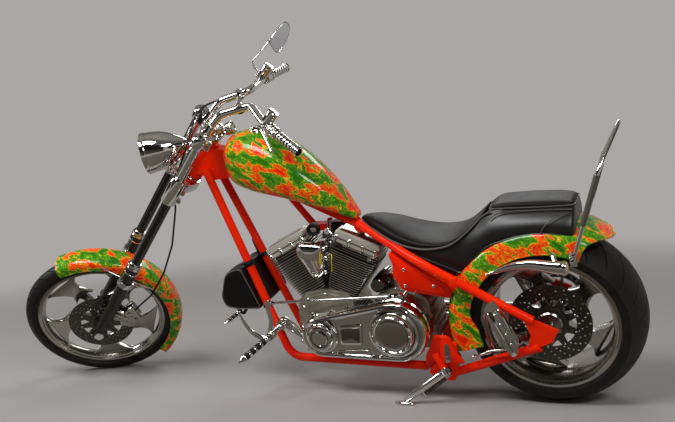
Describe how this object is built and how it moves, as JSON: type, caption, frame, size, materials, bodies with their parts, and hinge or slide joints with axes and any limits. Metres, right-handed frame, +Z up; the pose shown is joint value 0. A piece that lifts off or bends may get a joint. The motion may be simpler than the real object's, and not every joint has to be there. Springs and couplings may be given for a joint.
{
  "type": "chopper motorcycle",
  "caption": "Long-fork custom chopper with a wide rear tyre, V-twin engine, low stepped seat and high bars, leaning on its side stand.",
  "frame": {"origin": "on the floor, under the middle of the bounding box", "axes": "+X forward, +Y to the rider's left, +Z up"},
  "size_m": [2.7083, 0.7144, 1.5352],
  "materials": {
    "frame_paint": "gloss orange-red",
    "camo_paint": "gloss, green shapes on orange-red with thin yellow edges",
    "black_paint": "satin black",
    "engine_case": "satin",
    "black_fins": "satin black with bright fin edges",
    "leather": "soft black",
    "chrome": "polished",
    "steel": "ground",
    "caliper": "polished",
    "rubber": "matte",
    "tyre": "matte"
  },
  "bodies": {
    "frame": {"downtube_left": "frame_paint", "lower_rail_left": "frame_paint", "upper_rail_left": "frame_paint", "rear_stay_left": "frame_paint", "downtube_right": "frame_paint", "lower_rail_right": "frame_paint", "upper_rail_right": "frame_paint", "rear_stay_right": "frame_paint", "backbone": "frame_paint", "fuel_tank": "camo_paint", "rear_fender": "camo_paint", "seat_pan": "black_paint", "seat_pad": "leather", "passenger_pad": "leather", "oil_tank": "frame_paint", "fender_struts": "chrome", "sissy_bar": "chrome", "crankcase": "engine_case", "front_cylinder": "black_fins", "rear_cylinder": "black_fins", "horn_cover": "chrome", "air_cleaner": "chrome", "primary_cover": "chrome", "transmission": "engine_case", "drive_belt": "rubber", "exhaust_front": "chrome", "exhaust_rear": "chrome", "foot_control_left": "chrome", "foot_control_right": "chrome", "passenger_pegs": "chrome", "tool_bag": "leather", "rear_caliper": "caliper", "rear_axle": "chrome"},
    "steering": {"fork_leg_left": "chrome", "fork_leg_right": "chrome", "lower_clamp": "chrome", "top_clamp": "chrome", "headlight": "chrome", "handlebar": "chrome", "left_control": "rubber", "right_control": "rubber", "mirror": "chrome", "front_fender": "camo_paint", "front_caliper": "caliper", "front_axle": "chrome", "brake_hose": "rubber"},
    "front_wheel": {"front_tyre": "tyre", "front_wheel": "chrome", "front_disc": "steel"},
    "rear_wheel": {"rear_tyre": "tyre", "rear_wheel": "chrome", "rear_disc": "steel", "rear_pulley": "steel"},
    "side_stand": {"side_stand": "chrome"}
  },
  "joints": [
    {"name": "steering_head", "type": "hinge", "parent": "frame", "child": "steering", "pos_m": [0.3912, 0.12586, 0.9211], "axis": [-0.6685, 0.1591, 0.7265], "range_deg": [-66.6, 0]},
    {"name": "front_wheel_spin", "type": "hinge", "parent": "steering", "child": "front_wheel", "pos_m": [1.03702, 0.02845, 0.29649], "axis": [-0.4083, 0.738, -0.5373], "continuous": true},
    {"name": "rear_wheel_spin", "type": "hinge", "parent": "frame", "child": "rear_wheel", "pos_m": [-1.02744, -0.00486, 0.32406], "axis": [0, 0.9769, -0.2139], "continuous": true},
    {"name": "side_stand_pivot", "type": "hinge", "parent": "frame", "child": "side_stand", "pos_m": [-0.65544, 0.15843, 0.13476], "axis": [0.5011, -0.0157, 0.8652], "range_deg": [0, 145]}
  ]
}
